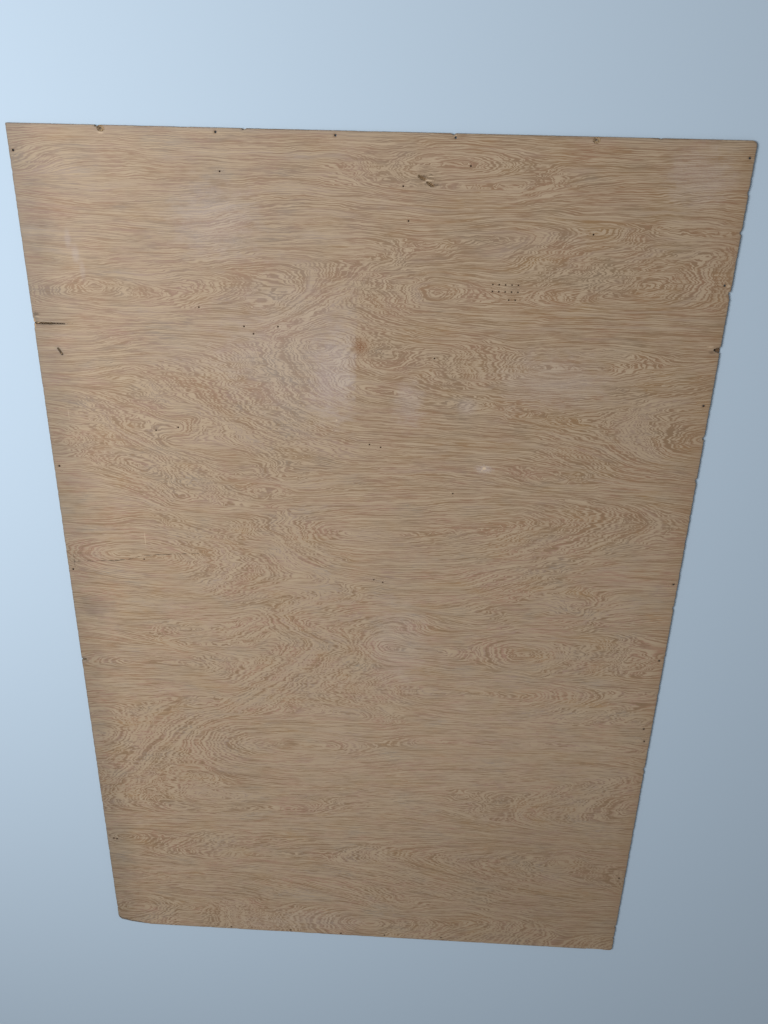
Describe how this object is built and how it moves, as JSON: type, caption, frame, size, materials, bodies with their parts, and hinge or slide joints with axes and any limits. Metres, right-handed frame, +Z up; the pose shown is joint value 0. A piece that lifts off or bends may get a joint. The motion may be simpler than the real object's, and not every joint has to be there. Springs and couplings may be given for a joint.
{
  "type": "plywood sheet",
  "caption": "Used thin three-ply plywood sheet, oblong, lying flat, with nail holes round its edges, chipped edges, a split and one broken corner.",
  "frame": {"origin": "centre of the underside of the sheet as it lies flat", "axes": "+X along the short side and the face grain, +Y along the long side towards the end with the worn corner, +Z up out of the good face"},
  "size_m": [0.813, 1.22, 0.003],
  "materials": {
    "plywood": "matte"
  },
  "bodies": {
    "root": {"plywood_sheet": "plywood"}
  },
  "joints": []
}
